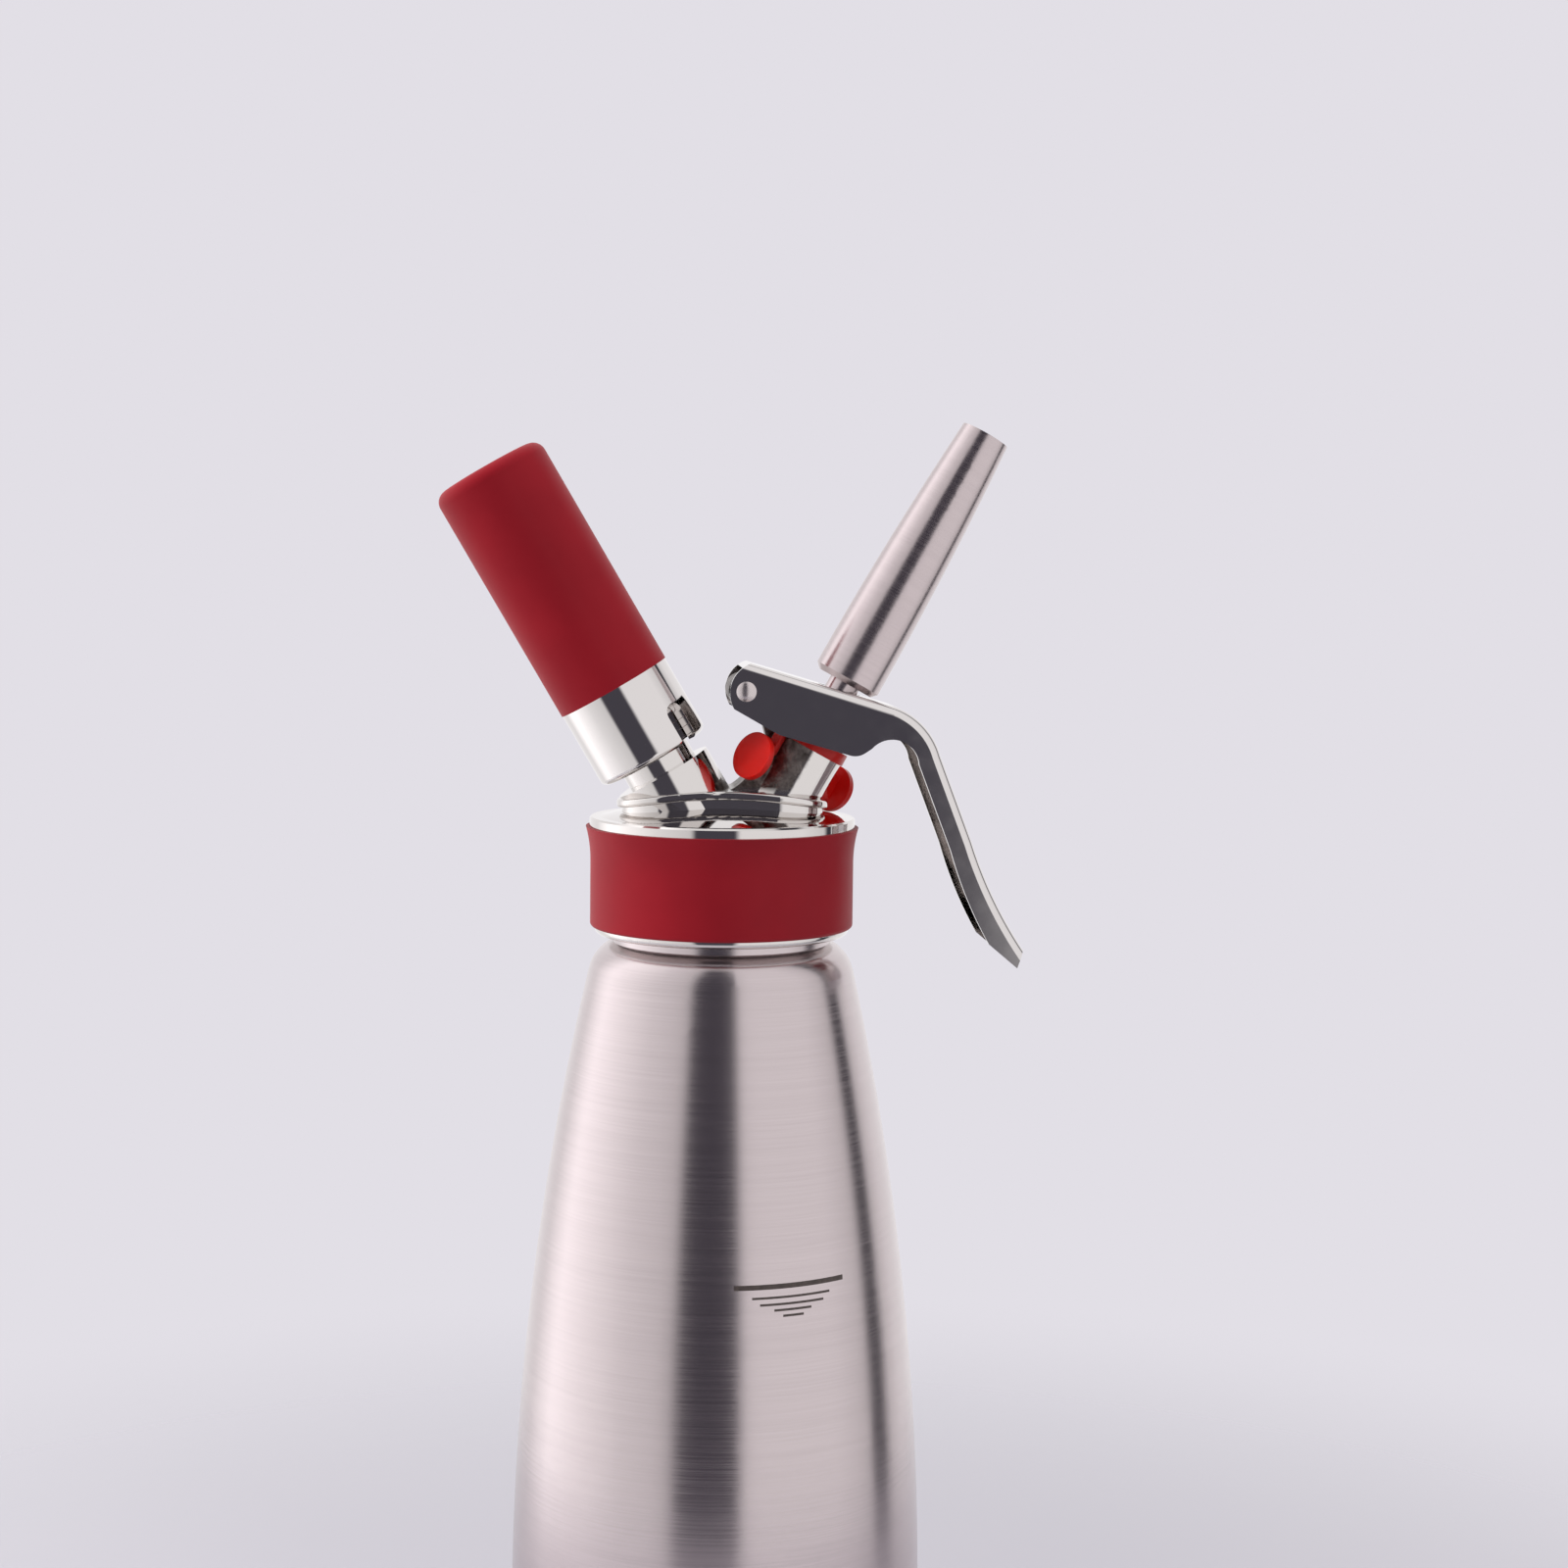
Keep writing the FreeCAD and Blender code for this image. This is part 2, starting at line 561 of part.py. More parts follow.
def make_head():
    """Cast and polished head: skirt, rim, dome, bridge and the two arms, bored out."""
    dome = (dome_radius * dome_radius + dome_rise * dome_rise) / (dome_rise * 2)
    shell = turned("HeadShell", [
        (0, ceiling),
        (skirt_bore, ceiling),
        (skirt_bore, skirt_bottom),
        (lip_radius - lip_rounding, skirt_bottom),
        (lip_radius, skirt_bottom + lip_rounding, lip_rounding),
        (lip_radius, lip_top),
        (band_seat, lip_top),
        (band_seat, rim_low),
        (rim_radius, rim_low),
        (rim_radius, rim_top - rim_edge),
        (rim_radius - rim_edge, rim_top),
        (dome_radius, rim_top),
        (0, rim_top + dome_rise, dome),
    ])
    none = Size(0.0, "0")
    outside = fuse(
        "HeadOutside",
        shell,
        *make_bridge(),
        *make_lug(),
        charger_arm.rod("ChargerBoss", charger_boss_radius, none, charger_boss_top),
        charger_arm.rod("ChargerRelief", relief_radius, charger_boss_top - 1, collar_base),
        charger_arm.rod("ChargerCollar", collar_radius, collar_base, collar_top),
        valve_arm.rod("ValveBoss", valve_boss_radius, none, valve_boss_top),
        valve_arm.rod("ClipSeat", clip_seat_radius, valve_boss_top - 1, clip_seat_top),
    )
    cavity = rod("HeadCavity", skirt_bore, skirt_bottom, ceiling - skirt_bottom)
    body = fuse(
        "HeadSolid",
        cut("HeadHollow", outside, cavity),
        charger_arm.rod("CheckBoss", check_seat_radius, check_seat_depth, none),
        valve_arm.rod("ValveSeat", valve_seat_radius, valve_seat_depth, none),
    )
    washer_low = charger_mouth - seat_gap - washer_thickness
    pin_hole = doc.addObject("Part::Cylinder", "LeverPinHole")
    pin_hole.Placement.Rotation = FreeCAD.Rotation(FreeCAD.Vector(1, 0, 0), -90)
    bind(pin_hole, Radius=pin_radius, Height=lever_width)
    bind(pin_hole, Placement_Base_x=pin_x, Placement_Base_y=-lever_width / 2)
    bind(pin_hole, Placement_Base_z=pin_z)
    neck_hole = charger_neck + running_gap * 4
    return cut(
        "Head",
        body,
        charger_arm.rod("NeckHole", neck_hole, washer_low, collar_top + 1),
        charger_arm.rod("ShankHole", pin_shank, Size(4.0, "4"), washer_low + 1),
        charger_arm.rod("GasHole", gas_hole, check_seat_depth - 1, Size(5.0, "5")),
        charger_arm.rod("CheckHole", check_stem, check_seat_depth - 1, Size(-1.0, "-1")),
        valve_arm.rod("CreamBore", valve_bore, valve_seat_depth - 1, clip_seat_top + 1),
        valve_arm.rod("SpringBore", spring_bore, spring_floor, clip_seat_top + 1),
        valve_arm.rod("SealPocket", seal_radius + moving_gap, valve_seat_depth * 2,
                      valve_seat_depth),
        pin_hole,
    )


def make_grip_band():
    """Silicone band in the groove round the skirt, flared at its top edge."""
    inner = band_seat + seat_gap
    outer = inner + band_thickness
    flare = (band_flare_height * band_flare_height + band_flare * band_flare) / (band_flare * 2)
    return turned("GripBand", [
        (inner, lip_top),
        (outer - band_edge, lip_top),
        (outer, lip_top + band_edge, band_edge),
        (outer, rim_low - band_flare_height),
        (outer + band_flare, rim_low, -flare),
        (inner, rim_low),
    ])


def make_lever_pin():
    """Stainless pin with low domed heads, through the lever's side plates and the lug."""
    dome = ((pin_head_radius * pin_head_radius + pin_head_height * pin_head_height)
            / (pin_head_height * 2))
    pin = turned("LeverPin", [
        (0, -pin_head_height),
        (pin_head_radius, Size(0.0, "0"), dome),
        (pin_radius, Size(0.0, "0")),
        (pin_radius, lever_width),
        (pin_head_radius, lever_width),
        (0, lever_width + pin_head_height, dome),
    ])
    pin.Placement.Rotation = FreeCAD.Rotation(FreeCAD.Vector(1, 0, 0), -90)
    return bind(pin, Placement_Base_x=pin_x, Placement_Base_y=-lever_width / 2,
                Placement_Base_z=pin_z)


def make_piercing_pin():
    """Hollow needle screwed into the charger arm, which opens the charger."""
    low = 5.0
    shoulder = charger_mouth - seat_gap - washer_thickness - low
    tip = charger_mouth + pin_reach - low
    body = turned("PiercingPin", [
        (pin_bore, 0),
        (pin_shank - seat_gap, 0),
        (pin_shank - seat_gap, shoulder),
        (pin_needle, shoulder),
        (pin_needle, tip - pin_needle),
        (pin_bore, tip),
    ])
    return charger_arm.place(body, Size(low, "5"))


def make_charger_washer():
    """Rubber washer round the needle that seals the charger's mouth."""
    washer = turned("ChargerWasher", [
        (pin_needle + seat_gap, 0),
        (charger_neck + running_gap * 3, 0),
        (charger_neck + running_gap * 3, washer_thickness),
        (pin_needle + seat_gap, washer_thickness),
    ])
    return charger_arm.place(washer, charger_mouth - seat_gap - washer_thickness)


def make_check_valve():
    """Brass check valve screwed up into the ceiling, which keeps the gas in the bottle."""
    stem = Size(4.5, "4.5")
    body = turned("CheckValve", [
        (gas_hole, 0),
        (check_radius - 0.6, 0),
        (check_radius - 0.6, check_length - 1.3),
        (check_radius, check_length - 1.3),
        (check_radius, check_length),
        (check_stem - seat_gap, check_length),
        (check_stem - seat_gap, check_length + stem),
        (gas_hole, check_length + stem),
    ])
    return charger_arm.place(body, check_seat_depth - check_length)


def make_check_sleeve():
    """Rubber sleeve stretched over the check valve's outlet."""
    sleeve = turned("CheckSleeve", [
        (check_radius - 0.55, 0),
        (check_radius, 0),
        (check_radius, check_length - 1.4),
        (check_radius - 0.55, check_length - 1.4),
    ])
    return charger_arm.place(sleeve, check_seat_depth - check_length)


def make_charger():
    """Steel gas charger: rolled neck, round shoulder, long body and a domed end."""
    neck_inner = charger_bore
    shoulder = charger_neck_length + charger_radius - charger_neck
    end = charger_length - charger_radius
    inner = charger_radius - charger_wall
    return charger_arm.place(turned("Charger", [
        (neck_inner, 0),
        (charger_neck, 0),
        (charger_neck, charger_neck_length),
        (charger_radius, shoulder, -(charger_radius - charger_neck)),
        (charger_radius, end),
        (0, charger_length, charger_radius),
        (0, charger_length - charger_wall),
        (inner, end, -inner),
        (inner, shoulder + charger_wall),
        (neck_inner, charger_neck_length + charger_wall),
    ]), charger_mouth)


def make_holder_sleeve():
    """Polished stainless sleeve: threaded mouth, closed end, and a notch that vents gas."""
    mouth = collar_radius + running_gap
    inner = charger_radius + moving_gap
    thread = collar_top - holder_base + 1
    inside_top = charger_mouth + charger_length + moving_gap - holder_base
    line = holder_line - holder_base
    blank = turned("HolderBlank", [
        (mouth, 0),
        (holder_radius - holder_edge, 0),
        (holder_radius, holder_edge, holder_edge),
        (holder_radius, line),
        (holder_core, line),
        (holder_core, inside_top + holder_end_wall),
        (0, inside_top + holder_end_wall),
        (0, inside_top),
        (inner, inside_top),
        (inner, thread),
        (mouth, thread),
    ])
    straight = vent_length - vent_width / 2
    slot = doc.addObject("Part::Box", "VentSlot")
    bind(slot, Length=holder_radius, Width=vent_width, Height=straight + 1)
    bind(slot, Placement_Base_x=inner, Placement_Base_y=-vent_width / 2)
    bind(slot, Placement_Base_z=Size(-1.0, "-1"))
    arch = doc.addObject("Part::Cylinder", "VentArch")
    arch.Placement.Rotation = FreeCAD.Rotation(FreeCAD.Vector(0, 1, 0), 90)
    bind(arch, Radius=vent_width / 2, Height=holder_radius)
    bind(arch, Placement_Base_x=inner, Placement_Base_z=straight)
    notch = fuse("VentNotch", slot, arch)
    bind(notch, Placement_Rotation_Angle=vent_angle)
    return charger_arm.place(cut("HolderSleeve", blank, notch), holder_base)


def make_holder_grip():
    """Silicone grip moulded over the sleeve, closed and rounded at the top."""
    inner = holder_core + seat_gap
    height = holder_top - holder_line
    cavity = (charger_mouth + charger_length + moving_gap + holder_end_wall + seat_gap
              - holder_line)
    return charger_arm.place(turned("HolderGrip", [
        (inner, 0),
        (grip_radius, 0),
        (grip_radius, height - grip_rounding),
        (grip_radius - grip_rounding, height, grip_rounding),
        (0, height),
        (0, cavity),
        (inner, cavity),
    ]), holder_line)


def make_piston():
    """Hollow valve piston: seal flange, sealing land with a groove, collar and thread."""
    base = valve_seat_depth - seal_thickness - piston_nut_height - seat_gap
    groove_middle = (land_base + land_top) / 2 - base
    groove_floor = valve_bore - pin_gap - ring_wire * 2
    land = valve_bore - running_gap
    blank = turned("PistonBlank", [
        (0, 0),
        (piston_nut, 0),
        (piston_nut, piston_nut_height),
        (piston_rod - 0.4, piston_nut_height),
        (piston_rod - 0.4, land_base - base),
        (land, land_base - base),
        (land, groove_middle - ring_wire),
        (groove_floor, groove_middle - ring_wire),
        (groove_floor, groove_middle + ring_wire),
        (land, groove_middle + ring_wire),
        (land, land_top - base),
        (piston_rod, land_top - base),
        (piston_rod, collar_low - base),
        (press_radius, collar_low - base),
        (press_radius, collar_high - base),
        (piston_rod, collar_high - base),
        (piston_rod, piston_top - base),
        (0, piston_top - base),
    ])
    port_height = land_base / 2 + valve_seat_depth / 2 - base
    passage = rod("PistonPassage", piston_bore, port_height, piston_top - base - port_height + 1)
    ports = []
    for index in range(2):
        port = doc.addObject("Part::Cylinder", f"CreamPort{index + 1}")
        spin = FreeCAD.Rotation(FreeCAD.Vector(0, 0, 1), 90 * index)
        port.Placement.Rotation = spin * FreeCAD.Rotation(FreeCAD.Vector(0, 1, 0), 90)
        bind(port, Radius=port_radius, Height=piston_rod * 4)
        start = -piston_rod * 2
        if index == 0:
            bind(port, Placement_Base_x=start)
        else:
            bind(port, Placement_Base_y=start)
        ports.append(bind(port, Placement_Base_z=port_height))
    return valve_arm.place(cut("Piston", blank, passage, *ports), base)


def make_piston_seal():
    """Rubber seal at the foot of the piston that closes the valve seat."""
    inner = piston_rod - 0.4 + seat_gap
    return valve_arm.place(turned("PistonSeal", [
        (inner, 0),
        (seal_radius - 0.8, 0),
        (seal_radius, 0.8),
        (seal_radius, seal_thickness),
        (inner, seal_thickness),
    ]), valve_seat_depth - seat_gap - seal_thickness)


def make_piston_ring():
    """O-ring in the piston's groove, which keeps the cream out of the spring chamber."""
    middle = (land_base + land_top) / 2
    item = doc.addObject("Part::Torus", "PistonRing")
    bind(item, Radius1=valve_bore - pin_gap - ring_wire, Radius2=ring_wire)
    return valve_arm.place(item, middle)


def make_return_spring():
    """Wound return spring in the boss, between the chamber's floor and the collar."""
    wire = spring_wire.value / 2
    mean = spring_mean.value
    low = spring_floor.value + wire + seat_gap.value
    high = collar_low.value - wire - seat_gap.value
    rise = high - low
    halves = spring_turns * 2
    edges = []
    points = []
    for step in range(halves * 2 + 1):
        angle = step * math.pi / 2
        height = rise * step / (halves * 2)
        points.append(FreeCAD.Vector(mean * math.cos(angle), mean * math.sin(angle), height))
    for step in range(halves):
        first, middle, last = points[2 * step:2 * step + 3]
        edges.append(Part.Arc(first, middle, last).toShape())
    path = Part.Wire(edges)
    start = points[0]
    heading = edges[0].tangentAt(edges[0].FirstParameter)
    section = Part.Wire([Part.makeCircle(wire, start, heading)])
    spring = doc.addObject("Part::Feature", "ReturnSpring")
    spring.Shape = path.makePipeShell([section], True, False)
    spring.Placement = FreeCAD.Placement(
        FreeCAD.Vector(
            valve_foot.value + math.sin(math.radians(valve_tilt.value)) * low,
            0,
            rim_top.value + math.cos(math.radians(valve_tilt.value)) * low,
        ),
        FreeCAD.Rotation(FreeCAD.Vector(0, 1, 0), valve_tilt.value),
    )
    return spring


def make_adaptor():
    """Threaded adaptor on top of the piston, which carries the nozzle."""
    inner = piston_rod + seat_gap
    return valve_arm.place(turned("TipAdaptor", [
        (inner, 0),
        (adaptor_neck, 0),
        (adaptor_neck, adaptor_step - adaptor_base),
        (adaptor_spigot, adaptor_step - adaptor_base),
        (adaptor_spigot, adaptor_top - adaptor_base),
        (inner, adaptor_top - adaptor_base),
    ]), adaptor_base)


def make_tip_seal():
    """Flat seal that the nozzle presses onto the adaptor's top."""
    return valve_arm.place(turned("TipSeal", [
        (nozzle_throat, 0),
        (adaptor_spigot, 0),
        (adaptor_spigot, tip_seal_thickness),
        (nozzle_throat, tip_seal_thickness),
    ]), adaptor_top + seat_gap)


def make_nozzle():
    """Turned stainless nozzle: threaded root, slim taper outside and a bored passage."""
    thread = adaptor_spigot + running_gap
    thread_top = adaptor_top + tip_seal_thickness + seat_gap * 2 - nozzle_base
    length = nozzle_top - nozzle_base
    return valve_arm.place(turned("Nozzle", [
        (thread, 0),
        (nozzle_radius - nozzle_chamfer, 0),
        (nozzle_radius, nozzle_chamfer),
        (nozzle_tip_radius, length, nozzle_bow),
        (nozzle_outlet, length),
        (nozzle_outlet, length - nozzle_outlet_depth),
        (nozzle_throat, thread_top + nozzle_throat_rise),
        (nozzle_throat, thread_top),
        (thread, thread_top),
    ]), nozzle_base)


def make_lever():
    """Pressed lever: a channel with deep side plates that narrows into a long handle."""
    slope = root((lever_knee_x - lever_crown_x) * (lever_knee_x - lever_crown_x)
                 + (lever_crown_z - lever_knee_z) * (lever_crown_z - lever_knee_z))
    down_x = (lever_knee_z - lever_crown_z) / slope
    down_z = -(lever_knee_x - lever_crown_x) / slope
    run = root((handle_mid_x - handle_top_x) * (handle_mid_x - handle_top_x)
               + (handle_top_z - handle_mid_z) * (handle_top_z - handle_mid_z))
    in_x = (handle_mid_z - handle_top_z) / run
    in_z = -(handle_mid_x - handle_top_x) / run
    inner_top_x = handle_top_x + in_x * handle_depth
    inner_top_z = handle_top_z + in_z * handle_depth
    inner_mid_x = handle_mid_x + in_x * handle_depth
    inner_mid_z = handle_mid_z + in_z * handle_depth
    tip_in_x = handle_tip_x - tip_depth
    tip_in_z = handle_tip_z + lever_sheet
    outline = [
        (lever_crown_x, lever_crown_z, -heel_bend),
        (lever_knee_x, lever_knee_z),
        (handle_top_x, handle_top_z, -knee_radius),
        (handle_mid_x, handle_mid_z),
        (handle_tip_x, handle_tip_z, handle_curve),
        (handle_tip_x - lever_sheet, handle_tip_z - tip_depth / 2),
        (tip_in_x, tip_in_z),
        (inner_mid_x, inner_mid_z, -handle_curve),
        (inner_top_x, inner_top_z),
        (cheek_x + notch_radius / 2, cheek_z + notch_radius / 3, notch_radius),
        (cheek_x + notch_radius / 4, cheek_z + notch_radius / 6),
        (cheek_x - notch_radius * 0.29, cheek_z + notch_radius * 0.083, -cheek_bend),
        (cheek_mid_x, cheek_mid_z),
        (heel_x, heel_z),
    ]
    body = padded("Lever", "XZ_Plane", outline, lever_width)
    doc.recompute()
    back_points = [corner(outline[index]) for index in range(5)]
    back_edges = []
    for index, edge in enumerate(body.Shape.Edges, 1):
        ends = [vertex.Point for vertex in edge.Vertexes]
        on_side = edge.BoundBox.YLength < 1e-4
        flat = [FreeCAD.Vector(end.x, end.z, 0) for end in ends]
        on_back = all(min((end - point).Length for point in back_points) < 1e-3 for end in flat)
        if on_side and on_back:
            back_edges.append(f"Edge{index}")
    blank = body.Tip
    rolled = body.newObject("PartDesign::Fillet", "LeverRolledEdge")
    rolled.Base = (blank, back_edges)
    bind(rolled, Radius=rolled_edge)
    body.Tip = rolled
    sheet_x = down_x * lever_sheet
    sheet_z = down_z * lever_sheet
    wall_x = in_x * lever_sheet
    wall_z = in_z * lever_sheet
    slope_back = (lever_crown_z - lever_knee_z) / (lever_knee_x - lever_crown_x)
    left = -heel_bend * 2
    channel = [
        (left, lever_crown_z + sheet_z + slope_back * (lever_crown_x + sheet_x - left)),
        (lever_knee_x + sheet_x, lever_knee_z + sheet_z),
        (handle_top_x + wall_x, handle_top_z + wall_z, -(knee_radius - lever_sheet)),
        (handle_mid_x + wall_x, handle_mid_z + wall_z),
        (handle_tip_x - lever_sheet * 2, handle_tip_z + lever_sheet * 0.5,
         handle_curve + lever_sheet),
        (handle_tip_x - tip_depth * 1.6, handle_tip_z - tip_depth),
        (left, handle_tip_z - tip_depth),
    ]
    sketch = sketch_on(body, "XZ_Plane", "LeverChannel")
    draw(sketch, channel)
    pocket = body.newObject("PartDesign::Pocket", "LeverChannelCut")
    pocket.Profile = sketch
    pocket.Midplane = True
    bind(pocket, Length=lever_width - lever_sheet * 2)
    body.Tip = pocket
    hole = sketch_on(body, "XZ_Plane", "LeverPinHoleOutline")
    circle = hole.addGeometry(Part.Circle(FreeCAD.Vector(0, 0, 0), FreeCAD.Vector(0, 0, 1), 2.05))
    hole.addConstraint(Sketcher.Constraint("Coincident", circle, 3, -1, 1))
    bound = hole.addConstraint(Sketcher.Constraint("Radius", circle, 2.05))
    hole.setExpression(f"Constraints[{bound}]", (pin_radius + pin_gap).text)
    bore = body.newObject("PartDesign::Pocket", "LeverPinHoleCut")
    bore.Profile = hole
    bore.Midplane = True
    bind(bore, Length=lever_width * 2)
    body.Tip = bore
    bind(body, Placement_Base_x=pin_x, Placement_Base_z=pin_z)
    slot_box = doc.addObject("Part::Box", "LeverSlotBox")
    bind(slot_box, Length=slot_length - slot_width, Width=slot_width, Height=piston_top - collar_high)
    valve_arm.place(slot_box, collar_high)
    half = (slot_length - slot_width) / 2
    stand = cosine(valve_tilt)
    lean = sine(valve_tilt)
    bind(slot_box, Placement_Base_y=-slot_width / 2)
    bind(slot_box, Placement_Base_x=valve_foot + lean * collar_high - stand * half)
    bind(slot_box, Placement_Base_z=rim_top + stand * collar_high + lean * half)
    ends = []
    for side, sign in (("Left", -1), ("Right", 1)):
        end = valve_arm.rod(f"LeverSlot{side}", slot_width / 2, collar_high, piston_top)
        bind(end, Placement_Base_x=valve_foot + lean * collar_high + stand * half * sign)
        bind(end, Placement_Base_z=rim_top + stand * collar_high - lean * half * sign)
        ends.append(end)
    return cut("LeverCut", body, slot_box, *ends)


def make_clip():
    """Plastic clip round the boss neck, with two finger discs on short tabs."""
    low = valve_boss_top + seat_gap
    outer = doc.addObject("Part::Cylinder", "ClipOuter")
    bind(outer, Radius=clip_radius, Height=clip_height, Angle=Size(360.0, "360") - clip_opening)
    bind(outer, Placement_Rotation_Angle=clip_opening / 2 + 180)
    hole = rod("ClipHole", clip_seat_radius + seat_gap * 2, Size(0.0, "0"), clip_height)
    arcs = cut("ClipArc", outer, hole)
    pieces = [arcs]
    middle = (clip_seat_radius + clip_radius) / 2
    inside = valve_boss_radius + moving_gap
    outside = inside + tab_thickness
    wings = (
        ("Left", left_tab_angle, disc_reach, disc_height),
        ("Right", right_tab_angle, disc_reach + reach_step, disc_height + disc_lift),
    )
    for side, angle, reach, height in wings:
        drop = low - height
        back = reach - disc_thickness / 2
        tab = padded(f"Clip{side}Tab", "XZ_Plane", [
            (middle, clip_height - 0.01),
            (middle, 0.3),
            (inside, 0.3),
            (inside, -drop + disc_radius / 2),
            (back, -drop - disc_radius / 2),
            (back + disc_thickness / 2, -drop),
            (back, -drop + disc_radius / 2),
            (outside, -drop + disc_radius * 0.8),
            (outside, clip_height - 0.01),
        ], tab_width)
        disc = doc.addObject("Part::Cylinder", f"Clip{side}Disc")
        disc.Placement.Rotation = FreeCAD.Rotation(FreeCAD.Vector(0, 1, 0), 90)
        bind(disc, Radius=disc_radius, Height=disc_thickness)
        bind(disc, Placement_Base_x=back, Placement_Base_z=-drop)
        wing = fuse(f"Clip{side}Wing", tab, disc)
        pieces.append(bind(wing, Placement_Rotation_Angle=angle))
    return valve_arm.place(fuse("ValveClip", *pieces), low)


label(make_bottle(), "bottle")
label(make_gasket(), "head_gasket")
label(make_head(), "head")
label(make_grip_band(), "grip_band")
label(make_lever_pin(), "lever_pin")
label(make_piercing_pin(), "piercing_pin")
label(make_charger_washer(), "charger_washer")
label(make_check_valve(), "check_valve")
label(make_check_sleeve(), "check_valve_sleeve")
label(make_charger(), "charger")
label(make_holder_sleeve(), "holder_sleeve")
label(make_holder_grip(), "holder_grip")
label(make_piston(), "piston")
label(make_piston_seal(), "piston_seal")
label(make_piston_ring(), "piston_ring")
label(make_return_spring(), "return_spring")
label(make_adaptor(), "tip_adaptor")
label(make_tip_seal(), "tip_seal")
label(make_nozzle(), "nozzle")
label(make_lever(), "lever")
label(make_clip(), "valve_clip")

doc.recompute()

for item in doc.Objects:
    if "Invalid" in item.State or "Error" in item.State:
        raise RuntimeError(f"{item.Name} failed: {item.State}")

os.makedirs("parts", exist_ok=True)
for item in nodes:
    shape = item.Shape
    if shape.isNull() or not shape.isValid():
        raise RuntimeError(f"{item.Label} has no valid shape")
    print(item.Label, len(shape.Solids), "solid", round(shape.Volume, 1), "mm3")
    shape.exportStep(f"parts/{item.Label}.step")
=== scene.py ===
import math
import bmesh
import bpy
from mathutils import Matrix, Vector


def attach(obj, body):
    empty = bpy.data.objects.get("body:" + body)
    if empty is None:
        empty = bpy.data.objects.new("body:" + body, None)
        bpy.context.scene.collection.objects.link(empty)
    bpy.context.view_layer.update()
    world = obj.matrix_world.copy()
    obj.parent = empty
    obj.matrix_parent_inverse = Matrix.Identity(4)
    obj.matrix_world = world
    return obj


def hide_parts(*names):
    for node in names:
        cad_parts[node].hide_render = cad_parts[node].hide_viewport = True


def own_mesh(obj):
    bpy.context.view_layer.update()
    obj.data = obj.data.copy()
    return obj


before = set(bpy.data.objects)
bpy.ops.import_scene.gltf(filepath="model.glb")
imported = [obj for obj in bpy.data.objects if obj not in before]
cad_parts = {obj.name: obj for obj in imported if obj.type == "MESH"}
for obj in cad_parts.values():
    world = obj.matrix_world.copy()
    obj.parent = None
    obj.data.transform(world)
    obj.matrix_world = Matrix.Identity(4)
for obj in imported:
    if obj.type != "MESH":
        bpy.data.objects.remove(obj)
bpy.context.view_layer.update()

# Table, backdrop and light
# The dispenser stands on a pale matt table in a bright tiled room. What the steel mirrors
# is a wide white window on the left, pale walls, the dark side of the room behind the
# camera and a narrow dark door frame on the right.


def linear(hexa):
    """An sRGB hex colour as a linear RGBA value."""
    parts = [int(hexa[i:i + 2], 16) / 255 for i in (1, 3, 5)]
    light = [c / 12.92 if c <= 0.04045 else ((c + 0.055) / 1.055) ** 2.4 for c in parts]
    return tuple(light) + (1.0,)


def add(tree, kind, settings=None, **inputs):
    """Adds a node, sets its properties, and fills its inputs with values or links."""
    node = tree.nodes.new(kind)
    for key, value in (settings or {}).items():
        setattr(node, key, value)
    for key, value in inputs.items():
        name = int(key[1:]) if key[0] == "_" else key.replace("_", " ")
        if isinstance(value, bpy.types.NodeSocket):
            tree.links.new(value, node.inputs[name])
        else:
            node.inputs[name].default_value = value
    return node


def new_material(name):
    """An empty node material with its output, ready for a shader."""
    material = bpy.data.materials.new(name)
    material.use_nodes = True
    tree = material.node_tree
    tree.nodes.clear()
    return material, tree, tree.nodes.new("ShaderNodeOutputMaterial")


def new_object(name, data):
    """An object for a mesh, lamp or camera, linked into the scene."""
    item = bpy.data.objects.new(name, data)
    bpy.context.scene.collection.objects.link(item)
    return item


def ramp(tree, factor, stops):
    """A colour ramp from (position, colour) stops."""
    node = add(tree, "ShaderNodeValToRGB", Fac=factor)
    elements = node.color_ramp.elements
    while len(elements) < len(stops):
        elements.new(0.5)
    for element, (position, colour) in zip(elements, stops):
        element.position = position
        element.color = colour
    return node.outputs["Color"]


scene = bpy.context.scene
scene.view_settings.view_transform = "Standard"

# The table's paint is matt and even, and it fades into the backdrop half a metre out. It
# doesn't show from below, so that the dispenser's foot can be seen.
table_paint, tree, output = new_material("pale_table_paint")
fade_start, fade_end = 0.16, 0.50
place = add(tree, "ShaderNodeTexCoord")
distance = add(tree, "ShaderNodeVectorMath", {"operation": "LENGTH"}, _0=place.outputs["Object"])
fade = add(tree, "ShaderNodeMapRange", {"interpolation_type": "SMOOTHSTEP"},
           Value=distance.outputs["Value"], From_Min=fade_start, From_Max=fade_end)
paint = add(tree, "ShaderNodeBsdfPrincipled", Base_Color=linear("#DEDBE2"), Roughness=0.8,
            Specular_IOR_Level=0.2)
gone = add(tree, "ShaderNodeBsdfTransparent")
facing = add(tree, "ShaderNodeNewGeometry")
hidden = add(tree, "ShaderNodeMath", {"operation": "MAXIMUM"}, _0=fade.outputs[0],
             _1=facing.outputs["Backfacing"])
mixed = add(tree, "ShaderNodeMixShader", _0=hidden.outputs[0], _1=paint.outputs[0],
            _2=gone.outputs[0])
tree.links.new(mixed.outputs[0], output.inputs[0])
mesh = bpy.data.meshes.new("table_top")
mesh.from_pydata([(-1, -1, 0), (1, -1, 0), (1, 1, 0), (-1, 1, 0)], [], [(0, 1, 2, 3)])
mesh.materials.append(table_paint)
new_object("table_top", mesh)

